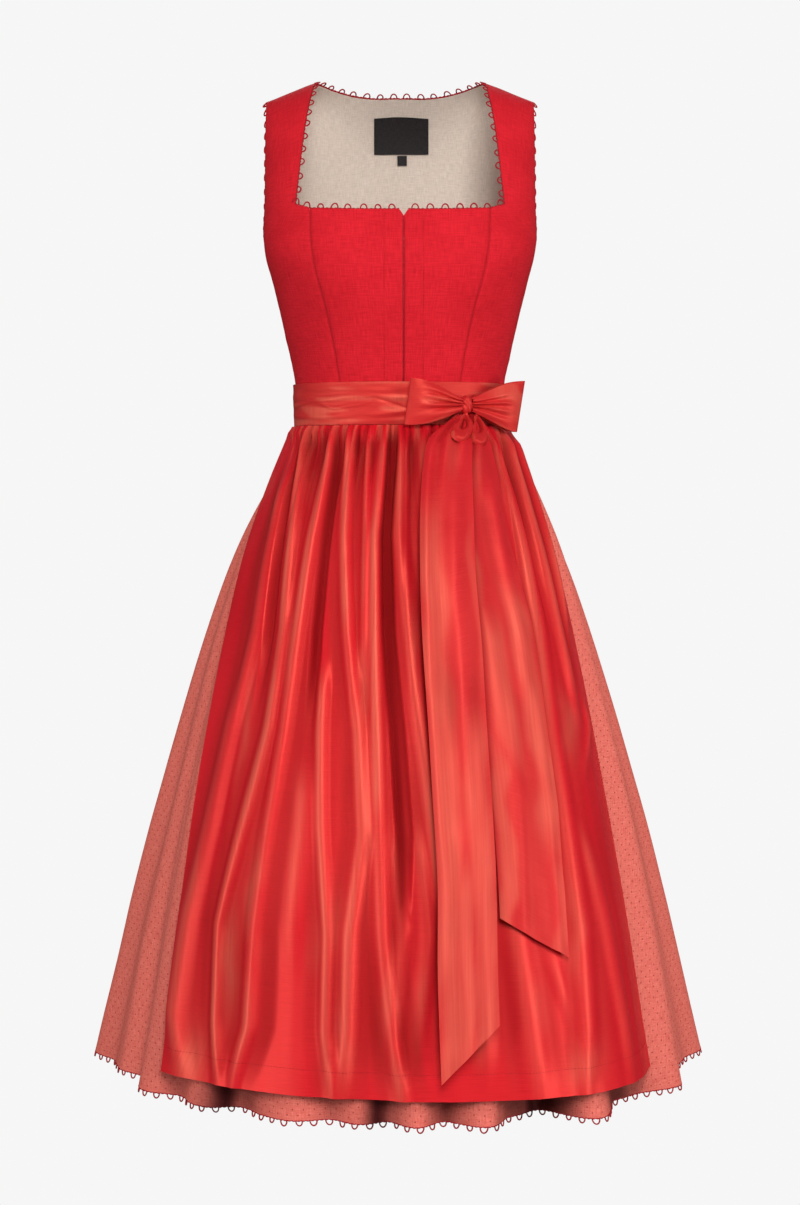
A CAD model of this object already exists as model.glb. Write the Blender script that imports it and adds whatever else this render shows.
"""Dirndl: linen bodice, dotted skirt and satin apron with a bow, in metres and the CAD frame.

+Z up, the front faces -Y, +X is the wearer's left. Angles run from the front centre towards +X.
Every cloth piece is a thin shell on its solid's form, with the creases, gathers and sewing that
the solids leave out. Left and right in the names of pieces are the wearer's.
"""

import math

import bpy
import numpy as np
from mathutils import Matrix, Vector


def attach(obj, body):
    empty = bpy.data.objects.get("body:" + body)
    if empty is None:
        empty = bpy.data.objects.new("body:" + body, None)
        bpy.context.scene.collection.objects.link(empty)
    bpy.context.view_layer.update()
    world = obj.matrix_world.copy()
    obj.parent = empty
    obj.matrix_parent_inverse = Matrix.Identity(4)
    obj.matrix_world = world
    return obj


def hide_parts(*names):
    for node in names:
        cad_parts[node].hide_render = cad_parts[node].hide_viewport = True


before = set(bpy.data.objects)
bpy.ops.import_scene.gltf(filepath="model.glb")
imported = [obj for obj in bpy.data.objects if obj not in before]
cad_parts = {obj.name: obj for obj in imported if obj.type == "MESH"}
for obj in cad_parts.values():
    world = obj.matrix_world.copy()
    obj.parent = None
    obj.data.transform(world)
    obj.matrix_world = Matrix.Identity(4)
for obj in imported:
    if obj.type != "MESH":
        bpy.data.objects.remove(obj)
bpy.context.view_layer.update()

# ------------------------------------------------------------------ tables


class Table:
    """Rows of named columns, read with a smooth curve through the rows. The first is the key."""

    def __init__(self, names, rows):
        values = np.array(rows, float)
        values = values[np.argsort(values[:, 0])]
        self.keys = values[:, 0]
        self.columns = dict(zip(names.split(), values.T))

    def read(self, name, at):
        keys, values = self.keys, self.columns[name]
        last = len(keys) - 1
        at = np.clip(at, keys[0], keys[last])
        high = np.clip(np.searchsorted(keys, at), 1, last)
        low = high - 1
        before, after = np.maximum(np.arange(last + 1) - 1, 0), np.minimum(np.arange(last + 1) + 1, last)
        slope = (values[after] - values[before]) / (keys[after] - keys[before])
        span = keys[high] - keys[low]
        t = (at - keys[low]) / span
        rise = values[high] - values[low]
        start = slope[low] * span * t * (1 - t) ** 2
        end = slope[high] * span * t * t * (1 - t)
        return values[low] + start + rise * t * t * (3 - 2 * t) - end


# Torso sections from the underarm down, and how square each is.
UNDERARM_Z = -0.176
TORSO = Table("z side front back square", [
    (-0.176, 0.1520, 0.107, 0.093, 3.0),
    (-0.198, 0.1490, 0.114, 0.091, 2.8),
    (-0.222, 0.1425, 0.117, 0.088, 2.6),
    (-0.246, 0.1365, 0.115, 0.085, 2.5),
    (-0.272, 0.1305, 0.108, 0.082, 2.4),
    (-0.303, 0.1235, 0.100, 0.080, 2.3),
    (-0.336, 0.1170, 0.095, 0.080, 2.2),
    (-0.376, 0.1155, 0.0935, 0.083, 2.2),
])
CUP = {"angle": 34, "spread": 17, "z": -0.214, "height": 0.034, "depth": 0.005}
SHOULDER = {"y": 0.008, "top": 0.0375, "slope": 0.386, "soft": 0.025}
WAIST_SEAM_Z = -0.376

# Bodice lines: distances from the centre against height, or against the rise in degrees.
CLOSING_X = 0.004
PRINCESS = Table("z x", [
    (-0.376, 0.061), (-0.336, 0.066), (-0.303, 0.071), (-0.272, 0.077),
    (-0.246, 0.083), (-0.222, 0.089), (-0.198, 0.094), (-0.176, 0.0965),
])
PRINCESS_TOP_X = 0.0965
NECK_SEAM_X = 0.0975
NECK_SEAM_RISE = 8.4
NECK_CENTRE_RISE = 6.6
NOTCH = {"width": 0.0045, "rise": 1.9}
NECK_CORNER_RISE = 10.6
STRAP_TOP_X = 0.0945
SHOULDER_RISE = 89.9  # just short of upright, so that the front and back of a strap stay apart
STRAP_INNER = Table("rise x", [
    (NECK_CORNER_RISE, 0.1135), (20, 0.1105), (34, 0.1065), (48, 0.1025), (66, 0.0975),
    (90, STRAP_TOP_X),
])
BACK_NECK = Table("x rise", [
    (0, 55), (0.024, 56.4), (0.045, 60), (0.062, 65), (0.076, 71.5), (0.086, 79), (STRAP_TOP_X, 90),
])
# A level is the distance below the underarm in thousandths of a metre, negative, or above it the
# rise in degrees.
BACK_SEAM = Table("level x", [
    (-200, 0.040), (-120, 0.047), (-60, 0.062), (0, 0.084), (30, 0.100), (60, 0.112), (90, 0.121),
])
ARMHOLE = {"angle": 73.5, "fall": 4.5}
BACK_LIFT_START = 32

# Skirt sections from the waist seam to the hem.
HEM_Z = -1.088
SKIRT_SQUARE = 2.1
SKIRT = Table("z side front back", [
    (-0.376, 0.1152, 0.0932, 0.0827),
    (-0.383, 0.1156, 0.0938, 0.0833),
    (-0.386, 0.1178, 0.0966, 0.087),
    (-0.398, 0.1225, 0.1035, 0.0965),
    (-0.443, 0.1458, 0.128, 0.125),
    (-0.510, 0.1770, 0.163, 0.162),
    (-0.578, 0.2015, 0.188, 0.189),
    (-0.691, 0.2355, 0.222, 0.224),
    (-0.805, 0.2670, 0.253, 0.255),
    (-0.919, 0.2955, 0.279, 0.281),
    (-1.034, 0.3215, 0.299, 0.300),
    (-1.092, 0.3345, 0.310, 0.310),
])

# The skirt's folds: place at the hem in degrees, height there, half width at half height,
# how far each wanders on the way down, and how far its crest leans over.
SKIRT_FOLDS = [
    (-88, 0.024, 4.6, 2, 0), (-66, -0.014, 3.6, -2, 0), (-55.5, 0.008, 3.4, 1, -0.006),
    (-48.5, -0.008, 2.6, 1, 0), (-41, 0.007, 3.2, -1, 0.004), (-33, -0.012, 3.0, -1, 0),
    (-21.5, 0.015, 4.6, 2, 0.005), (-7.5, 0.015, 3.2, 1, 0), (3, 0.026, 3.2, -1, 0),
    (14.5, 0.032, 3.9, 1, 0.006), (28, -0.013, 3.2, 0, 0), (37, 0.043, 4.4, -1, -0.008),
    (60, 0.021, 4.4, 2, 0.009), (76, -0.005, 4.0, -2, 0), (90, 0.022, 4.6, 1, 0),
    (107, 0.027, 4.8, -3, 0.005), (122, 0.020, 4.4, 2, -0.005), (138.5, 0.030, 5.2, 3, 0.007),
    (154, 0.022, 4.3, -2, 0), (170, 0.028, 5.0, -2, -0.006), (187, 0.024, 4.8, 3, 0.004),
    (202, 0.029, 4.6, -1, 0.006), (218.5, 0.021, 5.0, 2, -0.005), (235, 0.028, 4.9, -3, 0.006),
    (253, 0.022, 4.8, 2, -0.004),
]
VALLEY = 0.012
PLEAT = {"period": 10.4, "depth": 0.0024, "reach": 0.1}
SIDE_SEAM = 110
FOLD_START, FOLD_FULL = 0.012, 0.04
# Deep shade in the valleys below the apron: place, width before and after it, and strength.
SKIRT_SHADOWS = [
    (-36, 4.6, 2.6, 1.0), (-4.4, 2.4, 3.0, 1.0), (27.0, 3.4, 2.6, 1.0), (17.6, 1.2, 1.2, 0.45),
]

# The apron's edges and hem, its folds and valleys, and the gathers under the band.
APRON_EDGE = 54.5
APRON_EDGE_AT_WAIST = 98
FAN = 0.12
APRON_HEM_Z = -1.062
APRON_TOP_Z = -0.383
APRON_FOLD_HEIGHTS = np.array([-0.40, -0.50, -0.60, -0.70, -0.80, -0.90, -1.00, -1.06])
APRON_FOLDS = [
    # height, half width, steeper on which flank, first and last height, place at each height
    (0.008, 2.2, 0.3, -0.42, -1.10, (-41, -38.5, -39, -43.5, -45.5, -48, -48.5, -44.5)),
    (0.012, 1.5, 0.4, -0.36, -1.10, (-33.5, -31, -29.8, -31, -34.5, -38.5, -37.5, -35.5)),
    (0.014, 1.4, 0.4, -0.36, -1.10, (-23, -24.8, -26, -26.8, -28.4, -29.5, -29.6, -32.5)),
    (0.006, 2.0, 0, -0.72, -0.96, (-22, -22, -22, -22, -21.5, -22.5, -22, -22)),
    (0.009, 1.3, 0.2, -0.62, -1.10, (-19, -19, -19, -18.6, -17, -14.5, -14.2, -12.5)),
    (0.013, 1.5, 0.3, -0.36, -1.10, (-17, -15.4, -13, -9.2, -7.4, -9.8, -10, -10.8)),
    (0.009, 0.9, 0, -0.36, -0.68, (-11, -9.6, -9, -8.6, -8.6, -8.6, -8.6, -8.6)),
    (0.015, 1.4, 0.4, -0.36, -1.10, (-5.4, -6.8, -6.1, -5, -4.2, -3.4, -1.4, 0.6)),
    (0.006, 1.1, 0, -0.78, -1.04, (-1, -1, -1, -1, -1.1, 0.5, -0.5, -0.5)),
    (0.013, 1.7, -0.3, -0.36, -0.90, (0.6, -0.4, 2.2, 4.8, 7.6, 9.0, 9.4, 9.4)),
    (0.006, 1.4, 0.2, -0.78, -1.04, (4, 4, 4, 4, 4.2, 5.5, 3.6, 3.4)),
    (0.010, 1.9, 0, -0.36, -1.06, (8, 9, 11, 12, 13, 14, 14, 14)),
    (0.009, 2.2, 0.2, -0.36, -1.10, (21, 22, 23, 22, 21, 22, 24, 25)),
    (0.005, 1.3, 0, -0.90, -1.01, (27, 27, 27, 27, 27, 27.5, 32, 32)),
    (0.009, 1.7, -0.3, -0.36, -1.10, (31, 33.6, 34.6, 34.2, 34.8, 35.6, 35.2, 33.8)),
    (0.007, 1.4, 0, -0.66, -0.77, (49, 49, 49, 49, 34, 34, 34, 34)),
    (0.008, 1.4, -0.3, -0.36, -0.72, (38.5, 39.5, 41.5, 43.5, 44, 44, 44, 44)),
    (0.009, 1.4, -0.3, -0.36, -0.64, (45, 45.5, 47, 49, 49, 49, 49, 49)),
    (0.004, 1.3, 0, -0.78, -1.10, (37, 37, 37, 37, 38.5, 42, 44, 44.5)),
]
# How far the apron stands out at the hem, where it hangs straight over the skirt's valleys.
APRON_HANG = Table("fold out", [
    (-54.5, -0.0040), (-48, -0.0030), (-41, -0.0030), (-30, 0.0010), (-21.5, 0.0050), (-7.5, 0.0070),
    (3, 0.0155), (14.5, 0.0225), (26, 0.0280), (37, 0.0325), (46, 0.0200), (54.5, -0.0060),
])
APRON_VALLEYS = [
    # depth, half width, first and last height, place at each height
    (0.025, 2.0, -0.37, -0.93, (-2.4, -3.9, -2.9, -0.6, 0.9, 0.2, 0.2, 0.2)),
    (0.012, 1.7, -0.38, -0.74, (-20.5, -21.2, -21.6, -21.2, -21, -21, -21, -21)),
    (0.014, 1.8, -0.38, -0.70, (-37, -35.7, -35, -35.5, -36, -36, -36, -36)),
    (0.010, 1.6, -0.38, -0.62, (35.8, 36.5, 38.2, 40, 40, 40, 40, 40)),
]
# Broad shining places of the apron: place, height there, half width, half height and strength.
APRON_GLOSS = [
    (-44, -1.045, 3.2, 0.030, 0.8), (-30, -0.86, 1.8, 0.055, 0.9), (-35, -0.94, 2.0, 0.050, 0.9),
    (-14, -0.90, 3.2, 0.040, 0.45), (-8.6, -0.66, 1.6, 0.060, 0.6), (-7.4, -0.78, 1.6, 0.080, 0.7),
    (-10, -1.0, 1.4, 0.050, 0.7), (-2.0, -0.96, 1.4, 0.040, 0.7), (-27, -0.62, 1.3, 0.060, 0.6),
    (33, -1.035, 3.4, 0.022, 0.7), (34.5, -0.90, 1.6, 0.070, 0.6), (40, -0.70, 2.6, 0.030, 0.7),
    (-38.5, -0.70, 1.6, 0.060, 0.5), (24, -0.97, 2.0, 0.035, 0.4), (3.4, -0.62, 1.4, 0.050, 0.5),
]
APRON_FULLNESS = 0.009
APRON_RIGHT_TRIM = 4.0  # degrees by which the edge on the wearer's right is cut back at the hem
APRON_CLEARANCE = 0.0015
APRON_LIFT_MORE = 0.0005
APRON_FOLD_LIMIT = 0.020
GATHERS = [  # count across the apron, height, how far down each train reaches, unevenness
    (36, 0.0054, 0.075, 1.1), (21, 0.0036, 0.14, 1.3), (67, 0.0022, 0.028, 1.6),
]

BAND = {"top": -0.336, "bottom": -0.3824, "clearance": 0.0009, "bulge": 0.0008, "joint": 98}
BAND_WALL = 0.0022
BOW = {"x": 0.069, "z": -0.361, "stand_off": 0.0071}
KNOT = {"width": 0.013, "height": 0.019, "depth": 0.014}
SEAM_GAP = 0.0003

TAIL_TOP_Z = -0.3705
TAIL_FRONT = {
    "layer": 0.0046, "top_layer": 0.0022, "right_end": -1.040, "left_end": -0.985,
    "rows": Table("z centre half", [
        (TAIL_TOP_Z, 0.066, 0.005), (-0.383, 0.062, 0.014), (-0.398, 0.054, 0.023),
        (-0.427, 0.0505, 0.026), (-0.476, 0.049, 0.028), (-0.545, 0.0498, 0.029),
        (-0.608, 0.0535, 0.0305), (-0.700, 0.059, 0.030), (-0.776, 0.0635, 0.030),
        (-0.845, 0.067, 0.0295), (-0.931, 0.0675, 0.030), (-1.040, 0.071, 0.030),
    ]),
}
TAIL_BACK = {
    "layer": 0.0, "top_layer": 0.0, "right_end": -0.882, "left_end": -0.926,
    "rows": Table("z centre half", [
        (TAIL_TOP_Z, 0.075, 0.005), (-0.383, 0.079, 0.010), (-0.398, 0.079, 0.016),
        (-0.430, 0.076, 0.027), (-0.492, 0.083, 0.030), (-0.555, 0.096, 0.032),
        (-0.608, 0.108, 0.0325), (-0.700, 0.119, 0.033), (-0.776, 0.1275, 0.0335),
        (-0.827, 0.131, 0.0335), (-0.926, 0.1365, 0.0345),
    ]),
}

THICKNESS = {"linen": 0.0011, "lining": 0.0007, "skirt": 0.0008, "satin": 0.0007, "label": 0.0007}

# ------------------------------------------------------------------ small helpers

DEG = math.pi / 180


def smooth(low, high, value):
    t = np.clip((value - low) / (high - low), 0, 1)
    return t * t * (3 - 2 * t)


def mix(a, b, share):
    return a + (b - a) * share


def bell(distance, width):
    return np.exp(-((distance / width) ** 2))


def lasting(at, first, last, grow, fade):
    """1 from the first place to the last, grown over a stretch after the one and faded before the other."""
    return smooth(first, first + grow, at) * (1 - smooth(last - fade, last, at))


def soft_noise(u, v, seed):
    """Smooth noise from -1 to 1 with features about one unit apart."""
    size = 61
    lattice = np.random.RandomState(seed).uniform(-1, 1, (size, size))
    i, j = np.floor(u).astype(int), np.floor(v).astype(int)
    s, t = u - i, v - j
    s, t = s * s * (3 - 2 * s), t * t * (3 - 2 * t)

    def at(a, b):
        return lattice[(i + a) % size, (j + b) % size]

    return mix(mix(at(0, 0), at(1, 0), s), mix(at(0, 1), at(1, 1), s), t)


def stack(x, y, z):
    return np.stack(np.broadcast_arrays(x, y, z), axis=-1)


def unit(vectors):
    return vectors / np.maximum(np.linalg.norm(vectors, axis=-1, keepdims=True), 1e-12)


def normals_of(surface, first, second, step_first, step_second):
    """Outward normals, where the first parameter runs to +X in front and the second up."""
    along = surface(first + step_first, second) - surface(first - step_first, second)
    up = surface(first, second + step_second) - surface(first, second - step_second)
    return unit(np.cross(along, up))


def grid(first, second):
    """Rows follow the second parameter, columns the first."""
    return np.meshgrid(np.asarray(first, float), np.asarray(second, float))


# ------------------------------------------------------------------ surfaces of the form


def ring_point(angle, side, front, back, square):
    across, ahead = np.sin(angle * DEG), np.cos(angle * DEG)
    depth = np.where(ahead > 0, front, back)
    size = (np.abs(across) / side) ** square + (np.abs(ahead) / depth) ** square
    radius = size ** (-1 / square)
    return radius * across, -radius * ahead


def ring_angle(x, side, depth, square):
    share = np.minimum(np.abs(x) / side, 1) ** square
    ahead = depth * (1 - share) ** (1 / square)
    return np.arctan2(np.abs(x), ahead) / DEG


def torso(column, z):
    return TORSO.read(column, z)


def torso_ring(angle, z):
    return ring_point(angle, torso("side", z), torso("front", z), torso("back", z), torso("square", z))


def height_of(level):
    return UNDERARM_Z + np.minimum(level, 0) / 1000


def cup_at(angle, z):
    turned = (angle + 540) % 360 - 180
    across = (np.abs(turned) - CUP["angle"]) / CUP["spread"]
    down = (z - CUP["z"]) / CUP["height"]
    return CUP["depth"] * np.exp(-across**2 - down**2)


def shoulder_height(x):
    return SHOULDER["top"] - SHOULDER["slope"] * np.hypot(x, SHOULDER["soft"])


def bodice_point(angle, level):
    z = height_of(level)
    x, y = torso_ring(angle, z)
    cup = cup_at(angle, np.where(level > 0, UNDERARM_Z + 0.002 * level, z))
    size = np.hypot(x, y)
    x, y = x * (1 + 0.4 * cup / size), y * (1 + cup / size)
    rise = np.maximum(level, 0) * DEG
    height = UNDERARM_Z + (shoulder_height(x) - UNDERARM_Z) * np.sin(rise)
    domed_y = SHOULDER["y"] + (y - SHOULDER["y"]) * np.cos(rise)
    return stack(x, np.where(level > 0, domed_y, y), np.where(level > 0, height, z))


def bodice_line(angle, level):
    """Points of the bodice and their outward normals."""
    return bodice_point(angle, level), normals_of(bodice_point, angle, level, 0.4, 0.4)


def torso_angle(column, x, level):
    z = height_of(level)
    return ring_angle(x, torso("side", z), torso(column, z), torso("square", z))


def front_angle(x, level):
    return np.sign(x) * torso_angle("front", x, level)


def back_angle(x, level):
    return 180 - torso_angle("back", x, level)


def princess_angle(level):
    drift = (1 - np.clip(level / NECK_SEAM_RISE, 0, 1)) * (NECK_SEAM_X - PRINCESS_TOP_X)
    x = np.where(level < 0, PRINCESS.read("x", UNDERARM_Z + level / 1000), NECK_SEAM_X - drift)
    return front_angle(x, level)


def neck_rise(angle):
    x = bodice_point(angle, 0)[..., 0]
    dip = mix(NECK_CENTRE_RISE, NECK_SEAM_RISE, (x / NECK_SEAM_X) ** 2)
    notch = np.maximum(0, 1 - np.abs(x - CLOSING_X) / NOTCH["width"])
    return dip - NOTCH["rise"] * notch


def armhole_turn(rise):
    return ARMHOLE["angle"] + (90 - ARMHOLE["angle"]) * np.exp(-np.maximum(rise, 0) / ARMHOLE["fall"])


def back_seam_angle(level):
    return back_angle(BACK_SEAM.read("x", level), level)


def back_level(level, x):
    share = (level - BACK_LIFT_START) / (90 - BACK_LIFT_START)
    lifted = mix(BACK_LIFT_START, BACK_NECK.read("rise", np.abs(x)), share)
    return np.where(level <= BACK_LIFT_START, level, lifted)


def skirt_share(z):
    return np.maximum(0, (WAIST_SEAM_Z - z) / (WAIST_SEAM_Z - HEM_Z))


def skirt_angle(fold, share):
    turned = np.where(fold > 180, fold - 360, fold)
    size = np.abs(turned)
    outside = mix(APRON_EDGE_AT_WAIST, 180, (size - APRON_EDGE) / (180 - APRON_EDGE))
    at_waist = np.where(size < APRON_EDGE, size * APRON_EDGE_AT_WAIST / APRON_EDGE, outside)
    fanned = share * (1 + FAN) / (share + FAN)
    return np.sign(turned) * mix(at_waist, size, fanned)


def hump(distance, half):
    return np.where(np.abs(distance) < 2 * half, np.cos(math.pi * distance / (4 * half)) ** 2, 0)


def released(share):
    return smooth(FOLD_START, FOLD_FULL, share)


def fold_growth(share):
    """How much of their height at the hem the folds have."""
    return released(share) * (0.22 + 0.78 * share**0.9)


def skirt_fold(fold, share):
    """How far the cloth stands out and leans over, from its smooth section."""
    out, lean = -VALLEY, 0
    for place, height, half, wander, over in SKIRT_FOLDS:
        centre = place + wander * np.sin(math.pi * share)
        size = hump((fold - centre + 180) % 360 - 180, half)
        out = out + height * size
        lean = lean + over * size
    ramp = fold_growth(share)
    pleat = PLEAT["depth"] * np.exp(-share / PLEAT["reach"]) * released(share)
    return out * ramp + pleat * np.cos(2 * math.pi * fold / PLEAT["period"]), lean * ramp


def skirt_ring(z, angle):
    return ring_point(angle, *(SKIRT.read(key, z) for key in ("side", "front", "back")), SKIRT_SQUARE)


def skirt_normal(z, angle):
    low_x, low_y = skirt_ring(z, angle - 0.5)
    high_x, high_y = skirt_ring(z, angle + 0.5)
    return unit(stack(high_y - low_y, low_x - high_x, 0 * low_x))


def skirt_point(fold, z, lift=0.0):
    share = skirt_share(z)
    angle = skirt_angle(fold, share)
    x, y = skirt_ring(z, angle)
    normal = skirt_normal(z, angle)
    out, lean = skirt_fold(fold, share)
    out = out + lift
    return stack(
        x + normal[..., 0] * out - normal[..., 1] * lean,
        y + normal[..., 1] * out + normal[..., 0] * lean,
        z,
    )


def skirt_normals(fold, z):
    return -normals_of(lambda f, h: skirt_point(f, -h), fold, -z, 0.25, 0.001)


def apron_share(z):
    return (APRON_TOP_Z - z) / (APRON_TOP_Z - APRON_HEM_Z)


def uneven_hump(distance, half, steeper):
    """A soft ridge whose flank towards larger angles is the steeper one when steeper is positive."""
    return hump(distance, np.where(distance > 0, half * (1 - steeper / 2), half * (1 + steeper / 2)))


def apron_place(places, z):
    return np.interp(z, APRON_FOLD_HEIGHTS[::-1], places[::-1])


def apron_fold(fold, z):
    share = apron_share(z)
    out = APRON_FULLNESS * smooth(0.02, 0.12, share) * (1 - smooth(0.6, 0.95, share))
    out = out * (1 - smooth(36, 50, np.abs(fold)))
    for height, half, steeper, first, last, places in APRON_FOLDS:
        across = fold - apron_place(places, z)
        life = lasting(z, first, last, -0.05, -0.09)
        out = out + height * life * uneven_hump(across, half, steeper) * mix(1, 0.7, share)
    for depth, half, first, last, places in APRON_VALLEYS:
        life = lasting(z, first, last, -0.04, -0.14)
        out = out - depth * life * np.maximum(0, 1 - np.abs(fold - apron_place(places, z)) / half)
    out = 0.5 * (out + np.sqrt(out**2 + 1e-6))
    out = APRON_FOLD_LIMIT * np.tanh(out / APRON_FOLD_LIMIT) * smooth(-0.01, 0.035, share)
    for count, height, reach, uneven in GATHERS:
        beat = fold / APRON_EDGE * count * math.pi / 2
        wave = np.abs(np.cos(beat + uneven * np.sin(beat * 0.37) + 2.4 * share)) ** 0.8
        begun = smooth(-0.012, 0.008, share) * (1 - 0.7 * smooth(32, 50, np.abs(fold)))
        out = out + height * np.exp(-np.maximum(share, 0) / reach) * wave * begun
    return out


def apron_hang(fold, z):
    """How far the apron stands out from the skirt's smooth section."""
    return APRON_HANG.read("out", fold) * fold_growth(skirt_share(z))


def apron_lift(fold, z):
    """From the skirt's surface out to the apron's."""
    short = apron_hang(fold, z) - skirt_fold(fold, skirt_share(z))[0]
    hang = 0.5 * (short + np.sqrt(short**2 + 4e-6))
    return APRON_CLEARANCE + hang + apron_fold(fold, z)


def band_point(angle, z):
    return stack(*torso_ring(angle, z), z)


# ------------------------------------------------------------------ meshes


def along_rows(points):
    """Each point's distance along its row from the first column."""
    steps = np.linalg.norm(np.diff(points, axis=1), axis=2)
    return np.concatenate([np.zeros((len(points), 1)), np.cumsum(steps, axis=1)], axis=1)


def down_rows(points):
    """Each row's mean distance from the first row."""
    steps = np.linalg.norm(np.diff(points, axis=0), axis=2).mean(axis=1)
    return np.concatenate([[0], np.cumsum(steps)])[:, None]


def cloth_uv(points):
    """Distances along and across the cloth, in metres, so that weaves keep their size."""
    u = along_rows(points)
    u -= u[:, [u.shape[1] // 2]]
    return np.stack([u, np.broadcast_to(down_rows(points), u.shape)], axis=-1)


def volume_of(points, quads):
    a, b, c, d = (points[quads[:, k]] for k in range(4))
    return float((a * np.cross(b, c)).sum() + (a * np.cross(c, d)).sum())


def hollow_of(out, reach, scale):
    """How deep each point lies between its neighbours along the row, from 0 to nearly 1."""
    crest = out.copy()
    for step in range(1, reach + 1):
        crest[:, step:] = np.maximum(crest[:, step:], out[:, :-step])
        crest[:, :-step] = np.maximum(crest[:, :-step], out[:, step:])
    return (1 - np.exp((out - crest) / scale)) ** 2


def ring_quads(index):
    """Quads between rows of points that close on themselves."""
    after = np.roll(index, -1, axis=1)
    return np.stack([index[:-1], after[:-1], after[1:], index[1:]], axis=-1).reshape(-1, 4)


def write_field(mesh, key, values):
    field = mesh.attributes.new(key, "FLOAT", "POINT")
    field.data.foreach_set("value", np.clip(values, 0, 1).astype(np.float32).ravel())


def placed(name, data):
    made = bpy.data.objects.new(name, data)
    bpy.context.scene.collection.objects.link(made)
    return made


def make_mesh(name, points, quads, uv, material, fields=None):
    if volume_of(points, quads) < 0:
        quads = quads[:, ::-1]
    mesh = bpy.data.meshes.new(name)
    mesh.from_pydata(points.tolist(), [], quads.tolist())
    layer = mesh.uv_layers.new(name="cloth")
    layer.data.foreach_set("uv", uv[quads.ravel()].astype(np.float32).ravel())
    for key, values in (fields or {}).items():
        write_field(mesh, key, values)
    mesh.materials.append(material)
    mesh.shade_smooth()
    mesh.set_sharp_from_angle(angle=math.radians(55))
    mesh.validate()
    return placed(name + "_cloth", mesh)


def shell(name, outer, inner, material, hollow=None, shine=None):
    """A closed thin wall between two grids of points, with how deep each lies and how it shines."""
    rows, columns = outer.shape[:2]
    out = np.arange(rows * columns).reshape(rows, columns)
    inn = out + rows * columns

    def quads(a, b, c, d):
        return np.stack([a.ravel(), b.ravel(), c.ravel(), d.ravel()], axis=1)

    faces = np.concatenate([
        quads(out[:-1, :-1], out[:-1, 1:], out[1:, 1:], out[1:, :-1]),
        quads(inn[:-1, :-1], inn[1:, :-1], inn[1:, 1:], inn[:-1, 1:]),
        quads(out[:-1, 0], out[1:, 0], inn[1:, 0], inn[:-1, 0]),
        quads(out[1:, -1], out[:-1, -1], inn[:-1, -1], inn[1:, -1]),
        quads(out[0, 1:], out[0, :-1], inn[0, :-1], inn[0, 1:]),
        quads(out[-1, :-1], out[-1, 1:], inn[-1, 1:], inn[-1, :-1]),
    ])
    points = np.concatenate([outer.reshape(-1, 3), inner.reshape(-1, 3)])
    uv = cloth_uv(outer).reshape(-1, 2)
    given = {key: values for key, values in (("hollow", hollow), ("shine", shine)) if values is not None}
    fields = {key: np.concatenate([values.ravel(), values.ravel()]) for key, values in given.items()}
    return make_mesh(name, points, faces, np.concatenate([uv, uv]), material, fields)


def tube(path, radius, sides):
    """Points of a round thread along a path, its walls, its first and last ring, and its last point."""
    path = np.asarray(path, float)
    along = unit(np.gradient(path, axis=0))
    side = unit(np.cross(along[0], (0.31, 0.87, 0.38)))
    rings = []
    for point, direction in zip(path, along):
        side = unit(side - direction * np.dot(side, direction))
        other = np.cross(direction, side)
        turn = np.arange(sides) / sides * 2 * math.pi
        rings.append(point + radius * (np.outer(np.cos(turn), side) + np.outer(np.sin(turn), other)))
    points = np.concatenate([[path[0]], *rings, [path[-1]]])
    base = 1 + np.arange(len(path) * sides).reshape(-1, sides)
    return points, ring_quads(base), base[0], base[-1], len(points) - 1


def threads(name, paths, radius, material, sides=6, shade=None):
    """Many short threads as one mesh. Shade gives how dark a point is in a valley."""
    points, faces, start = [], [], 0
    for path in paths:
        made, walls, first, last, end = tube(path, radius, sides)
        points.append(made)
        faces += (walls + start).tolist()
        for k in range(sides):
            after = (k + 1) % sides
            faces.append([start, first[after] + start, first[k] + start])
            faces.append([end + start, last[k] + start, last[after] + start])
        start += len(made)
    mesh = bpy.data.meshes.new(name)
    points = np.concatenate(points)
    mesh.from_pydata(points.tolist(), [], faces)
    write_field(mesh, "hollow", shade(points) if shade else 0 * points[:, 0])
    mesh.materials.append(material)
    mesh.shade_smooth()
    return placed(name + "_cloth", mesh)


def settle(piece, nodes=(), cut=None):
    """Gives a piece its body, slot, the solids it stands for and its flat cut."""
    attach(piece, "root")
    if nodes:
        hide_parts(*nodes)
    if cut:
        width, length, *area = cut
        area[0] if area else None
    return piece


# ------------------------------------------------------------------ materials


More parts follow.
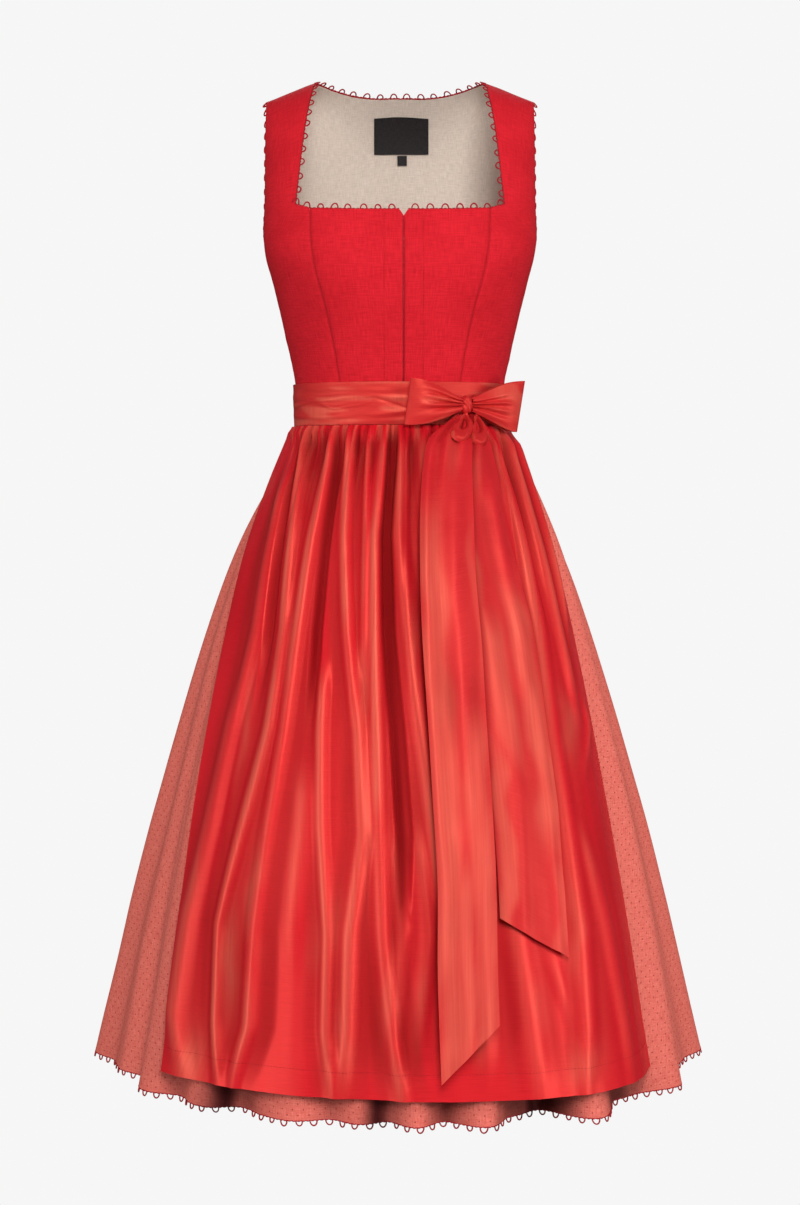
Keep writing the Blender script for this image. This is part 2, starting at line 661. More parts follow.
class Shader:
    """A material whose nodes are added one call at a time."""

    def __init__(self, name):
        self.material = bpy.data.materials.new(name)
        self.material.use_nodes = True
        self.tree = self.material.node_tree
        self.tree.nodes.clear()
        self.uv = self.node("ShaderNodeUVMap", uv_map="cloth").outputs["UV"]

    def node(self, kind, inputs=None, **settings):
        made = self.tree.nodes.new(kind)
        for key, value in settings.items():
            setattr(made, key, value)
        for key, value in (inputs or {}).items():
            self.feed(made.inputs[key], value)
        return made

    def feed(self, socket, value):
        if isinstance(value, bpy.types.NodeSocket):
            self.tree.links.new(value, socket)
        else:
            socket.default_value = value

    def math(self, operation, *values):
        made = self.node("ShaderNodeMath", operation=operation)
        for socket, value in zip(made.inputs, values):
            self.feed(socket, value)
        return made.outputs[0]

    def scaled(self, vector, scale, turn=0.0):
        made = self.node("ShaderNodeMapping", {"Vector": vector, "Scale": scale, "Rotation": (0, 0, turn)})
        return made.outputs[0]

    def noise(self, vector, detail=2.0, rough=0.5, scale=1.0):
        made = self.node("ShaderNodeTexNoise", {
            "Vector": vector, "Scale": scale, "Detail": detail, "Roughness": rough,
        })
        return made.outputs["Fac"]

    def ramp(self, value, low, high, to_low=0.0, to_high=1.0):
        made = self.node("ShaderNodeMapRange", {
            "Value": value, "From Min": low, "From Max": high, "To Min": to_low, "To Max": to_high,
        })
        return made.outputs[0]

    def blend(self, factor, a, b):
        made = self.node("ShaderNodeMix", data_type="RGBA")
        self.feed(made.inputs["Factor"], factor)
        self.feed(made.inputs["A"], a)
        self.feed(made.inputs["B"], b)
        return made.outputs["Result"]

    def field(self, name):
        return self.node("ShaderNodeAttribute", attribute_name=name).outputs["Fac"]

    def deepened(self, colour, deep, most):
        """Cloth takes a deeper colour in its hollows, where it is lit by its own reflections."""
        return self.blend(self.math("MULTIPLY", self.field("hollow"), most), colour, deep)

    def slubs(self, fine, coarse):
        """Thicker places in the threads that run both ways."""
        up = self.noise(self.scaled(self.uv, (fine, coarse, 1)))
        across = self.noise(self.scaled(self.uv, (coarse, fine, 1)))
        return self.math("MULTIPLY", self.math("ADD", up, across), 0.5)

    def weave(self, pitch):
        """Over and under of a plain weave, from 0 to 1."""
        wide = self.scaled(self.uv, (1 / pitch, 1 / pitch, 1))
        parts = self.node("ShaderNodeSeparateXYZ", {"Vector": wide})
        warp = self.math("SINE", self.math("MULTIPLY", parts.outputs["X"], math.pi))
        weft = self.math("SINE", self.math("MULTIPLY", parts.outputs["Y"], math.pi))
        return self.math("ADD", self.math("MULTIPLY", self.math("MULTIPLY", warp, weft), 0.5), 0.5)

    def finish(self, colour, height, distance, **principled):
        bump = self.node("ShaderNodeBump", {"Strength": 1.0, "Distance": distance, "Height": height})
        inputs = {"Base Color": colour, "Normal": bump.outputs[0]}
        inputs.update({key.replace("_", " "): value for key, value in principled.items()})
        shader = self.node("ShaderNodeBsdfPrincipled", inputs)
        self.node("ShaderNodeOutputMaterial", {"Surface": shader.outputs[0]})
        return self.material


def rgb(red, green, blue):
    """A linear colour from one as seen on a screen, 0 to 255."""
    values = [c / 255 for c in (red, green, blue)]
    return [c / 12.92 if c <= 0.04045 else ((c + 0.055) / 1.055) ** 2.4 for c in values] + [1.0]


def linen_material():
    s = Shader("red_linen")
    slubs = s.slubs(900, 60)
    cloudy = s.noise(s.scaled(s.uv, (14, 14, 1)), 3)
    weave = s.weave(0.0006)
    tone = s.math("ADD", s.math("MULTIPLY", slubs, 0.7), s.math("MULTIPLY", cloudy, 0.3))
    colour = s.blend(s.ramp(tone, 0.36, 0.64), rgb(186, 17, 31), rgb(221, 33, 46))
    colour = s.deepened(colour, rgb(96, 4, 12), 0.8)
    height = s.math("ADD", s.math("MULTIPLY", weave, 0.5), slubs)
    return s.finish(colour, height, 0.00016, Roughness=0.85, Sheen_Weight=0.03, Sheen_Roughness=0.5,
                    Sheen_Tint=rgb(255, 140, 130), Specular_IOR_Level=0.15)


def satin_material(name, dark, light, bright, roughness):
    s = Shader(name)
    slubs = s.noise(s.scaled(s.uv, (40, 1500, 1)), 2)
    threads_up = s.noise(s.scaled(s.uv, (1800, 30, 1)), 1)
    cloudy = s.noise(s.scaled(s.uv, (9, 5, 1)), 2)
    tone = s.math("ADD", s.math("MULTIPLY", slubs, 0.45), s.math("MULTIPLY", cloudy, 0.55))
    colour = s.blend(s.ramp(tone, 0.38, 0.62), dark, light)
    streaks = s.ramp(s.noise(s.scaled(s.uv, (420, 9, 1)), 2), 0.3, 0.7, 0.7, 1.15)
    colour = s.blend(s.math("MULTIPLY", s.field("shine"), streaks), colour, bright)
    colour = s.deepened(colour, rgb(112, 0, 8), 1.0)
    height = s.math("ADD", slubs, s.math("MULTIPLY", threads_up, 0.5))
    duller = s.ramp(s.field("hollow"), 0.1, 0.7, roughness, 0.9)
    return s.finish(colour, height, 0.00005, Roughness=duller, Metallic=0.1,
                    Specular_IOR_Level=0.6, Specular_Tint=rgb(255, 160, 125), Anisotropic=0.3)


DOT_PITCH = 0.0080


def dotted_material():
    s = Shader("dotted_cotton")
    cells = s.node("ShaderNodeTexVoronoi", {
        "Vector": s.scaled(s.uv, (1, 1, 1), math.radians(45)), "Scale": 1 / DOT_PITCH, "Randomness": 0.0,
    })
    dot = s.ramp(cells.outputs["Distance"], 0.075, 0.125, 1.0, 0.0)
    grain = s.slubs(1100, 90)
    ground = s.blend(s.ramp(grain, 0.36, 0.64), rgb(208, 90, 79), rgb(236, 125, 110))
    ground = s.deepened(ground, rgb(58, 0, 2), 1.0)
    clear = s.math("MULTIPLY", dot, s.ramp(s.field("hollow"), 0.3, 0.9, 0.75, 0.1))
    colour = s.blend(clear, ground, rgb(146, 34, 36))
    height = s.math("ADD", grain, s.math("MULTIPLY", dot, 1.2))
    return s.finish(colour, height, 0.00012, Roughness=0.8, Sheen_Weight=0.07, Sheen_Roughness=0.5,
                    Sheen_Tint=rgb(255, 140, 120), Specular_IOR_Level=0.2)


def plain_material(name, dark, light, roughness, distance=0.00008, scale=900):
    s = Shader(name)
    grain = s.slubs(scale, scale * 0.12)
    colour = s.blend(s.ramp(grain, 0.36, 0.64), dark, light)
    return s.finish(colour, grain, distance, Roughness=roughness, Sheen_Weight=0.1, Specular_IOR_Level=0.3)


def thread_material(name, dark, light):
    s = Shader(name)
    place = s.node("ShaderNodeTexCoord").outputs["Object"]
    twist = s.noise(place, 2, 0.6, 2600)
    colour = s.blend(s.ramp(twist, 0.35, 0.65), dark, light)
    colour = s.deepened(colour, rgb(58, 2, 8), 0.9)
    return s.finish(colour, twist, 0.0002, Roughness=0.75, Specular_IOR_Level=0.3)


LINEN = linen_material()
CORAL = rgb(222, 92, 76)
SATIN = satin_material("satin", rgb(208, 16, 34), rgb(224, 30, 44), CORAL, 0.40)
SATIN_BOW = satin_material("satin_bow", rgb(192, 34, 38), rgb(208, 48, 48), CORAL, 0.46)
SATIN_TAIL = satin_material("satin_tail", rgb(200, 28, 38), rgb(214, 44, 50), rgb(218, 84, 71), 0.48)
DOTTED = dotted_material()
LINING = plain_material("lining_cotton", rgb(206, 192, 176), rgb(226, 213, 198), 0.8)
TAPE = plain_material("label_tape", rgb(22, 20, 20), rgb(46, 42, 42), 0.55, 0.00006, 1600)
PICOT_THREAD = thread_material("picot_thread", rgb(128, 8, 20), rgb(192, 20, 36))
RED_THREAD = thread_material("red_thread", rgb(150, 10, 24), rgb(190, 22, 34))

# ------------------------------------------------------------------ bodice


SEAM = {"dip": 0.0009, "width": 0.0016, "shade_width": 0.0010, "pucker": 0.00016, "stitch": 0.0065}
WRINKLE = 0.0004


def seam_roll(points, seams, life, seed):
    """The cloth dips into its seams, and puckers a little beside them.

    Gives how far it stands out, the seams' shade, and how free of them the cloth is to wrinkle.
    """
    from_first, down = along_rows(points), down_rows(points)
    pucker = np.sin(down / SEAM["stitch"] * math.pi + 1.7 * soft_noise(down / 0.03, down * 0, seed))
    out, shade, still = np.zeros(points.shape[:2]), 0.0, 1.0
    for distance, strength in zip((from_first, from_first[:, -1:] - from_first), seams):
        out -= SEAM["dip"] * life * bell(distance, SEAM["width"])
        near = np.exp(-distance / 0.006) * smooth(0.0005, 0.003, distance)
        out += SEAM["pucker"] * life * pucker * near
        shade = np.maximum(shade, strength * life * bell(distance, SEAM["shade_width"]))
        still = np.minimum(still, smooth(0, 0.008, distance))
    return out, shade, still


def bodice_panel(name, angle, level, seams, life, cut, seed):
    """Seams are how dark the first and last edge show, and life is where down the rows they run."""
    points, normals = bodice_line(angle, level)
    u, v = points[..., 0] + points[..., 1] * 0.6, points[..., 2]
    out, shade, still = seam_roll(points, seams, life, seed)
    out += WRINKLE * still * soft_noise(u / 0.045, v / 0.022, seed)
    out += 0.5 * WRINKLE * still * soft_noise(u / 0.018, v / 0.011, seed + 1)
    outer = points + normals * out[..., None]
    inner = outer - normals * THICKNESS["linen"]
    piece = shell(name, outer, inner, LINEN, shade)
    return settle(piece, [name], cut)


LOWER = np.linspace(-200, 0, 71)
ACROSS = np.linspace(0, 1, 46)
SEAM_TURN = 0.01


def centre_front(mirror, name, seed):
    upper = np.linspace(0, 1, 10)[1:]
    share, row = grid(ACROSS, np.concatenate([LOWER, upper * NECK_SEAM_RISE]))
    seam = princess_angle(row) - SEAM_TURN
    closing = front_angle(CLOSING_X, row) + mirror * SEAM_TURN
    angle = mix(closing, mirror * seam, share**1.25)
    level = np.where(row > 0, row / NECK_SEAM_RISE * neck_rise(angle), row)
    return bodice_panel(name, angle, level, (1.0, 0.42), 1.0, (0.106, 0.229, 0.0190), seed)


def side_front(mirror, name, seed):
    corner = np.linspace(0, NECK_CORNER_RISE, 14)[1:]
    straps = np.linspace(NECK_CORNER_RISE, SHOULDER_RISE, 60)[1:]
    share, row = grid(ACROSS, np.concatenate([LOWER, corner, straps]))
    strap = front_angle(STRAP_INNER.read("x", row), 0)
    princess = princess_angle(np.minimum(row, NECK_SEAM_RISE)) + SEAM_TURN
    seam = mix(princess, strap, smooth(NECK_SEAM_RISE, NECK_CORNER_RISE, row))
    outer = np.where(row <= 0, 90 - SEAM_TURN, armhole_turn(row))
    angle = mirror * mix(seam, outer, share)
    life = 1 - smooth(NECK_SEAM_RISE - 2, NECK_SEAM_RISE, row)
    return bodice_panel(name, angle, row, (0.42, 0.3), life, (0.125, 0.416, 0.0365), seed)


def back_parts(mirror=0):
    """Angles and levels of the centre, or of the side that mirror gives: 1 left, -1 right."""
    rows = np.concatenate([LOWER, np.linspace(0, SHOULDER_RISE, 74)[1:]])
    share, row = grid(np.linspace(0, 1, 80) if mirror == 0 else ACROSS, rows)
    seam = back_seam_angle(row)
    if mirror == 0:
        angle = 180 - (180 - seam - SEAM_TURN) * (1 - 2 * share)
        return angle, back_level(row, bodice_point(angle, 1)[..., 0])
    outer = np.where(row <= 0, 90 + SEAM_TURN, 180 - armhole_turn(row))
    return mirror * mix(outer, seam - SEAM_TURN, share if mirror > 0 else 1 - share), row


centre_front(1, "front_centre_left", 3)
centre_front(-1, "front_centre_right", 11)
side_front(1, "front_side_left", 19)
side_front(-1, "front_side_right", 27)
bodice_panel("back_centre", *back_parts(), (0.4, 0.4), 1.0, (0.283, 0.387, 0.060), 35)
bodice_panel("back_side_left", *back_parts(1), (0.3, 0.4), 1.0, (0.128, 0.396, 0.036), 43)
bodice_panel("back_side_right", *back_parts(-1), (0.4, 0.3), 1.0, (0.128, 0.396, 0.036), 51)

# ------------------------------------------------------------------ lining, label and tab

LINING_INSET = 0.0022
LINING_SIDE = 90.06  # degrees, just behind the side seam
TAB_LEVEL = 1050  # degrees for a square metre, so that its straight edges stay level


def lining():
    """The whole back, from the left side seam to the right one."""
    rows = np.concatenate([LOWER[::2], np.linspace(0, SHOULDER_RISE, 70)[1:]])
    share, row = grid(np.linspace(0, 1, 90), rows)
    side = np.where(row <= 0, LINING_SIDE, 180 - armhole_turn(row))
    angle = mix(side, 360 - side, share)
    x = bodice_point(angle, 1)[..., 0]
    level = np.where(np.abs(x) < STRAP_TOP_X, back_level(row, x), row)
    points, normals = bodice_line(angle, level)
    loose = 0.00035 * soft_noise(points[..., 0] / 0.03, points[..., 2] / 0.02, 61)
    outer = points - normals * (LINING_INSET - loose)[..., None]
    inner = outer - normals * THICKNESS["lining"]
    piece = shell("back_lining", outer, inner, LINING)
    return settle(piece, ["back_lining"], (0.409, 0.390, 0.128))


def tab(name, x_low, x_high, rise_low, rise_high, lift, cut):
    x, rise = grid(np.linspace(x_high, x_low, 40), np.linspace(rise_low, rise_high, 24))
    rise = rise + TAB_LEVEL * x**2
    points, normals = bodice_line(180 - np.sign(x) * (180 - back_angle(x, 0)), rise)
    wave = 0.0002 * np.sin(x / 0.011) * np.cos(rise / 4)
    outer = points - normals * (LINING_INSET + THICKNESS["lining"] + lift + wave)[..., None]
    inner = outer - normals * THICKNESS["label"]
    piece = shell(name, outer, inner, TAPE)
    return settle(piece, [name], cut)


lining()
tab("label", -0.030, 0.033, 32, 47, 0.0008, (0.063, 0.040))
tab("size_tab", -0.003, 0.008, 28, 31.6, 0.0013, (0.011, 0.0105))

# ------------------------------------------------------------------ skirt


WAIST_TOP_Z = -0.3763
SEAM_PARTING = 0.01  # degrees by which each width stops short of the side seam
SKIRT_SEEDS = {"skirt_front": 71, "skirt_back": 75}


def beside_apron(fold):
    return smooth(50, 57, np.abs(fold))


def skirt_detail(fold, z, seed):
    share = skirt_share(z)
    along = fold * 0.0052
    life = smooth(0.03, 0.2, share) * mix(0.15, 1, beside_apron(fold))
    side = 180 - np.abs(fold - 180)
    life = life * smooth(0, 7, np.abs(np.where(fold < 0, -fold, side) - SIDE_SEAM))
    out = 0.0011 * soft_noise(along / 0.05, z / 0.16, seed)
    return life * (out + 0.0005 * soft_noise(along / 0.016, z / 0.07, seed + 1))


def valley_shade(fold):
    """How deep in shade the skirt lies below the apron's hem, from 0 to 1."""
    shade = 0 * fold
    for place, before, after, strength in SKIRT_SHADOWS:
        across = fold - place
        shade = np.maximum(shade, strength * bell(across, np.where(across < 0, before, after)) ** 0.8)
    return shade


def skirt_piece(name, low, high, columns, cut):
    columns_at = np.linspace(low + SEAM_PARTING, high - SEAM_PARTING, columns)
    fold, z = grid(columns_at, np.linspace(WAIST_TOP_Z, HEM_Z, 100))
    detail = skirt_detail(fold, z, SKIRT_SEEDS[name])
    outer = skirt_point(fold, z, detail)
    inner = outer - skirt_normals(fold, z) * THICKNESS["skirt"]
    per_degree = columns / (high - low)
    under = 1 - beside_apron(fold)
    out = skirt_fold(fold, skirt_share(z))[0] + detail
    hollow = hollow_of(out, round(8 * per_degree), 0.016) * mix(0.2, 1, under)
    below_apron = smooth(APRON_HEM_Z - 0.020, APRON_HEM_Z - 0.002, z) * under
    hollow = np.maximum(hollow, below_apron * (0.25 + 0.7 * np.minimum(2 * hollow, 1)))
    hollow = np.maximum(hollow, valley_shade(fold) * under * smooth(-0.98, -1.04, z))
    return settle(shell(name, outer, inner, DOTTED, hollow), [name], cut)


skirt_piece("skirt_front", -SIDE_SEAM, SIDE_SEAM, 400, (1.42, 0.76, 0.75))
skirt_piece("skirt_back", SIDE_SEAM, 360 - SIDE_SEAM, 270, (0.90, 0.76, 0.44))

# ------------------------------------------------------------------ apron


def apron_detail(fold, z):
    along = fold * 0.0055
    out = 0.0009 * (1 + soft_noise(along / 0.026, z / 0.17, 81)) * smooth(0.05, 0.3, apron_share(z))
    return out + 0.0004 * (1 + soft_noise(along / 0.011, z / 0.11, 82))


def apron_surface(fold, z):
    return skirt_point(fold, z, apron_lift(fold, z) + APRON_LIFT_MORE + apron_detail(fold, z))


def beside_tail(points, tail, side, strength):
    """The shade of a tail's edge on what it lies on. Side is 1 for its edge towards +X."""
    x, z = points[..., 0], points[..., 2]
    edge = tail["rows"].read("centre", z) + side * tail["rows"].read("half", z)
    end = tail["right_end"] if side < 0 else tail["left_end"]
    inside = lasting(z, end - 0.004, -0.385, 0.008, 0.015)
    return strength * inside * np.exp(-np.abs(x - edge) / 0.0045)


def apron_shine(fold, z):
    """Where the satin's floats catch the light: along its crests, in uneven lengths, and in patches."""
    shine = 0 * fold
    for k, (height, half, _, first, last, places) in enumerate(APRON_FOLDS):
        life = lasting(z, first, last, -0.05, -0.09)
        across = (fold - apron_place(places, z) + 0.25 * half) / (0.75 * half)
        length = 0.35 + 0.65 * smooth(-0.5, 0.5, soft_noise(z / 0.09, 7.3 * k, 131))
        shine = np.maximum(shine, np.minimum(height / 0.011, 1) * life * length * bell(across, 1))
    for place, level, half, tall, strength in APRON_GLOSS:
        wander = 0.6 * half * soft_noise(z / 0.03, place, 133)
        patch = bell(fold - place - wander, half) * bell(z - level, tall)
        shine = np.maximum(shine, strength * patch)
    share = apron_share(z)
    gathered = np.exp(-np.maximum(share, 0) / 0.06)
    fine = smooth(0.0, 0.5, soft_noise(fold / 1.1 + 14 * share * np.sin(fold / 3.1), z / 0.03, 135))
    return 0.9 * np.maximum(shine * smooth(0.0, 0.06, share), 0.85 * gathered * fine)


def apron():
    share, z = grid(np.linspace(0, 1, 440), np.linspace(APRON_TOP_Z, APRON_HEM_Z, 104))
    trim = APRON_RIGHT_TRIM * smooth(0.2, 1.1, apron_share(z)) / smooth(0.2, 1.1, 1.0)
    fold = mix(trim - APRON_EDGE, APRON_EDGE, share)
    outer = apron_surface(fold, z)
    inner = outer - normals_of(apron_surface, fold, z, 0.1, 0.001) * THICKNESS["satin"]
    out = skirt_fold(fold, skirt_share(z))[0] + apron_lift(fold, z) + apron_detail(fold, z)
    out = out - apron_hang(fold, z)  # its slow rise and fall across the front isn't a fold
    hollow = hollow_of(out, 16, mix(0.006, 0.008, smooth(0, 0.2, apron_share(z))))
    hollow = np.maximum(hollow, beside_tail(outer, TAIL_FRONT, -1, 0.6))
    hollow = np.maximum(hollow, beside_tail(outer, TAIL_BACK, 1, 0.5))
    piece = shell("apron", outer, inner, SATIN, hollow, apron_shine(fold, z))
    return settle(piece, ["apron"], (0.74, 0.72, 0.41))


apron()

# ------------------------------------------------------------------ band and sash


BAND_CREASES = [  # from this angle and height to that one, depth, half height
    (-78, -0.3600, -29, -0.3522, 0.0011, 0.0028), (-16, -0.3533, 3, -0.3641, -0.0013, 0.0013),
    (-24, -0.3518, 4, -0.3533, 0.0010, 0.0026), (-80, -0.3652, -56, -0.3587, -0.0011, 0.0013),
    (-82, -0.3560, -60, -0.3572, -0.0008, 0.0012), (-50, -0.3598, -40, -0.3641, 0.0009, 0.0020),
    (-42, -0.3641, -20, -0.3587, 0.0009, 0.0022), (-80, -0.3717, -38, -0.3738, 0.0011, 0.0032),
    (-17, -0.3717, 3, -0.3684, 0.0010, 0.0028), (-62, -0.3420, -10, -0.3452, 0.0008, 0.0030),
    (-30, -0.3790, 10, -0.3765, 0.0007, 0.0028), (40, -0.3660, 74, -0.3560, 0.0011, 0.0026),
    (48, -0.3480, 82, -0.3500, 0.0008, 0.0022), (44, -0.3700, 78, -0.3745, -0.0009, 0.0014),
]


BAND_PARTING = 0.1  # degrees by which the band and the sash each stop short of their joint


def band(name, low, high, columns, cut, seed):
    columns_at = np.linspace(low + BAND_PARTING, high - BAND_PARTING, columns)
    angle, z = grid(columns_at, np.linspace(BAND["top"], BAND["bottom"], 40))
    down = (BAND["top"] - z) / (BAND["top"] - BAND["bottom"])
    out = BAND["bulge"] * np.sin(math.pi * down)
    turned = angle if low < 0 else angle - 180
    for first, start, last, end, depth, half in BAND_CREASES:
        centre = mix(start, end, np.clip((turned - first) / (last - first), 0, 1))
        centre = centre + 0.0007 * soft_noise(turned / 9, 1000 * half, seed)
        life = lasting(turned, first - 8, last + 8, 14, 14)
        out = out + depth * life * bell(z - centre, half)
    out = out + 0.0005 * soft_noise(angle / 16, z / 0.007, seed + 2)
    normals = normals_of(band_point, angle, z, 0.4, 0.001)
    base = band_point(angle, z)
    outer = base + normals * (BAND["clearance"] + BAND_WALL + out)[..., None]
    inner = base + normals * (BAND["clearance"] + SEAM_GAP)
    shine = 0.75 * smooth(-0.1, 0.7, soft_noise(turned / 17 + 40 * z, z / 0.006, seed + 5))
    piece = shell(name, outer, inner, SATIN_BOW, shine=shine)
    return settle(piece, [name], cut)


band("apron_band", -BAND["joint"], BAND["joint"], 220, (0.385, 0.0475), 91)
band("sash_back", BAND["joint"], 360 - BAND["joint"], 160, (0.29, 0.0475), 95)

# ------------------------------------------------------------------ bow

BOW_FACE = BAND["clearance"] + BAND_WALL + BAND["bulge"] + SEAM_GAP


def bow_axes():
    side, front, square = (float(torso(key, BOW["z"])) for key in ("side", "front", "square"))
    angle = ring_angle(BOW["x"], side + BOW_FACE, front + BOW_FACE, square)
    point = band_point(angle, np.float64(BOW["z"]))
    normal = normals_of(band_point, angle, np.float64(BOW["z"]), 0.5, 0.001)
    out = unit(np.array([normal[0], normal[1], 0.0]))
    return point, out, np.array([-out[1], out[0], 0.0])


BOW_BASE, BOW_OUT, BOW_ALONG = bow_axes()


def bow_point(along, out, up):
    """A point along the band, out from it, and up from the knot's middle."""
    along, out, up = np.broadcast_arrays(along, out, up)
    point = BOW_BASE + BOW_OUT * (BOW_FACE + out)[..., None] + BOW_ALONG * along[..., None]
    return point + np.array([0, 0, 1.0]) * up[..., None]


LOOPS = [
    {"name": "bow_loop_left", "side": 1, "reach": 0.062, "height": 0.028, "lift": -0.001, "bend": 0.0,
     "slant": 0.005, "creases": [(-0.5, 0.0030), (-0.05, 0.0044), (0.32, 0.0026)]},
    {"name": "bow_loop_right", "side": -1, "reach": 0.058, "height": 0.025, "lift": 0.003, "bend": -0.011,
     "slant": -0.0036, "creases": [(-0.35, 0.0032), (0.1, 0.0046), (0.55, 0.0024)]},
]
LOOP_START = 0.02


def loop_point(loop, around, across):
    far = np.sin(math.pi * around)
    start = math.sin(math.pi * LOOP_START) ** 0.8
    away = (far**0.8 - start) / (1 - start)
    along = KNOT["width"] / 2 + 0.0001 + loop["reach"] * away + loop["slant"] * across * far * far
    gape = np.cos(math.pi * around) * (0.0022 + 0.006 * far**0.7)
    half = 0.005 + (loop["height"] - 0.005) * np.sin(far * math.pi / 2)
    crease = 0.0006 * np.cos(3 * math.pi * across) * (1 - far) ** 0.5
    front = smooth(0.62, 0.38, around)
    for place, depth in loop["creases"]:
        drift = place * (0.75 + 0.25 * far)
        width = 0.10 + 0.08 * far
        valley = bell(across - drift, width) * (1 - smooth(0.35, 0.85, far))
        ridge = bell(across - drift - 0.2, width) * (1 - smooth(0.4, 0.9, far))
        crease = crease + front * depth * (0.6 * ridge - valley)
    puff = 0.0045 * front * (1 - across**2) * np.sin(math.pi * np.minimum(far, 1)) ** 0.8
    out = BOW["stand_off"] + gape + crease + puff + loop["bend"] * far**1.5
    return bow_point(loop["side"] * along, out, across * half + loop["lift"] * far)


def bow_loop(loop):
    """Around runs from the knot out over the front and back behind, across runs up."""
    around, across = grid(np.linspace(LOOP_START, 1 - LOOP_START, 110), np.linspace(-1, 1, 60))

    def surface(a, c):
        return loop_point(loop, a, c)

    outer = surface(around, across)
    normals = normals_of(surface, around, across, 0.003, 0.02)
    inner = outer - normals * THICKNESS["satin"]
    far = np.sin(math.pi * around)
    ripple = soft_noise(across * 2.6 + 1.2 * far, around * 5, 141 + loop["side"])
    shine = smooth(-0.2, 0.6, ripple) * smooth(0.1, 0.5, far) * 0.5
    piece = shell(loop["name"], outer, inner, SATIN_BOW, shine=shine)
    return settle(piece, [loop["name"]], (0.047, 0.143, 0.0052))


def bow_knot():
    turn, tilt = grid(np.linspace(0, 2 * math.pi, 73)[:-1], np.linspace(-math.pi / 2, math.pi / 2, 44))

    def soften(value):
        return np.sign(value) * np.abs(value) ** 0.8

    x = soften(np.cos(tilt) * np.sin(turn))
    z = soften(np.sin(tilt))
    y = soften(np.cos(tilt) * np.cos(turn))
    wrap = np.sin(6.5 * x + 5.5 * z + 0.8 * np.sin(3 * z)) * (0.4 + 0.6 * np.abs(y))
    grow = 1.04 - 0.13 * smooth(-0.2, 0.9, wrap)
    points = bow_point(
        x * grow * KNOT["width"] / 2, BOW["stand_off"] + y * grow * KNOT["depth"] / 2,
        z * grow * KNOT["height"] / 2,
    )
    index = np.arange(x.size).reshape(x.shape)
    uv = np.stack([x * 0.02, z * 0.02], axis=-1).reshape(-1, 2)
    piece = make_mesh("bow_knot", points.reshape(-1, 3), ring_quads(index), uv, SATIN_BOW)
    return settle(piece, ["bow_knot"])


TAIL_CLEARANCE = 0.0024


def crest_under_tails(z):
    """How far the apron's highest crest under the tails stands out at each height."""
    fold, height = grid(np.linspace(0, 34, 25), z)
    crest = skirt_fold(fold, skirt_share(height))[0] + apron_lift(fold, height) - APRON_CLEARANCE
    return np.maximum(0, crest.max(axis=1))


TAIL_HEIGHTS = np.linspace(-1.06, -0.36, 240)
TAIL_CREST = crest_under_tails(np.minimum(TAIL_HEIGHTS, WAIST_SEAM_Z))


def clear_of(z, key):
    """Half the size of the section, to the side or the front, that clears apron and band."""
    skirt_z = np.minimum(z, WAIST_SEAM_Z)
    extra = np.interp(z, TAIL_HEIGHTS, TAIL_CREST) + APRON_CLEARANCE + 0.001 + TAIL_CLEARANCE
    skirt = SKIRT.read(key, skirt_z) + extra
    band_reach = torso(key, np.maximum(z, WAIST_SEAM_Z)) + BOW_FACE + TAIL_CLEARANCE
    return np.where(z > BAND["bottom"] - 0.004, np.maximum(band_reach, skirt), skirt)


def tail_point(tail, across, down):
    end = mix(tail["right_end"], tail["left_end"], (across + 1) / 2)
    z = mix(TAIL_TOP_Z, end, down)
    x = tail["rows"].read("centre", z) + across * tail["rows"].read("half", z)
    layer = mix(tail["top_layer"], tail["layer"], smooth(0, 0.06, down))
    side, front = clear_of(z, "side"), clear_of(z, "front")
    share = (np.abs(x) / (side + layer)) ** SKIRT_SQUARE
    y = -(front + layer) * (1 - share) ** (1 / SKIRT_SQUARE)
    return stack(x, y, z)


TAIL_CREASES = {  # place across at the top and at the end, height, half width, start and end
    "bow_tail_front": [
        (-0.1, -0.45, 0.0050, 0.20, -0.05, 0.16), (0.55, 0.75, 0.0042, 0.22, -0.05, 0.14),
        (-0.75, -0.85, 0.0026, 0.16, 0.0, 0.9), (0.3, 0.15, 0.0030, 0.26, 0.08, 0.55),
        (0.0, 0.45, 0.0026, 0.24, 0.40, 0.9), (0.8, 0.55, 0.0022, 0.18, 0.5, 1.1),
        (-0.5, -0.1, 0.0022, 0.24, 0.62, 1.2),
    ],
    "bow_tail_back": [
        (0.2, 0.5, 0.0045, 0.24, -0.05, 0.2), (-0.3, -0.6, 0.0030, 0.22, 0.05, 0.7),
        (0.7, 0.3, 0.0032, 0.20, 0.1, 0.6), (0.0, -0.3, 0.0026, 0.22, 0.5, 1.2),
        (0.8, 0.7, 0.0022, 0.16, 0.5, 1.2),
    ],
}
TAIL_GLOSS = {  # place across at the top and at the end, half width, start, end and strength
    "bow_tail_front": [
        (-0.62, -0.5, 0.46, 0.12, 1.3, 1.0), (0.6, 0.5, 0.42, 0.46, 1.3, 0.9),
        (0.0, 0.1, 0.26, 0.0, 0.14, 0.6), (0.9, 0.9, 0.14, 0.16, 0.5, 0.5), (0.0, 0.0, 0.3, 0.66, 1.3, 0.9),
    ],
    "bow_tail_back": [
        (-0.7, -0.55, 0.30, 0.18, 0.42, 0.8), (-0.6, 0.1, 0.36, 0.36, 0.72, 1.0),
        (0.5, 0.75, 0.36, 0.30, 0.86, 1.0), (-0.8, -0.75, 0.26, 0.62, 1.3, 0.9),
        (0.9, 0.8, 0.22, 0.78, 1.3, 0.6), (0.2, 0.4, 0.2, 0.04, 0.2, 0.5),
    ],
}


